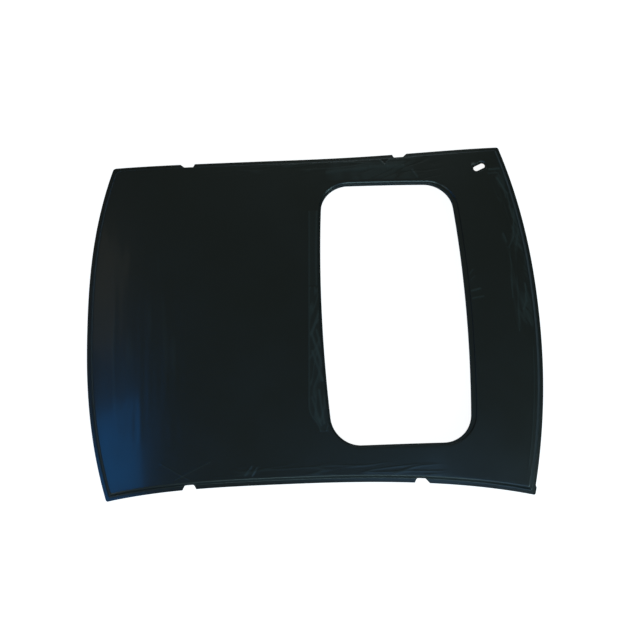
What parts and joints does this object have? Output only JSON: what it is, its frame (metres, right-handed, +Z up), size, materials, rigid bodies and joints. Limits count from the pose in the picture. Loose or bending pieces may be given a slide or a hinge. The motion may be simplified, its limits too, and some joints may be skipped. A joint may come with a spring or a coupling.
{
  "type": "car roof panel",
  "caption": "Pressed steel outer panel of a car roof, crowned, with a large rounded sunroof opening, stepped weld flanges and a slotted aerial seat.",
  "frame": {"origin": "middle of the panel's bounding box, at the level of its lowest flange corners", "axes": "+X to the front of the car, +Y to its left side, +Z up out of the outer face"},
  "size_m": [1.4499, 1.1778, 0.1121],
  "materials": {
    "black_paint": "satin"
  },
  "bodies": {
    "root": {"roof_panel": "black_paint"}
  },
  "joints": []
}
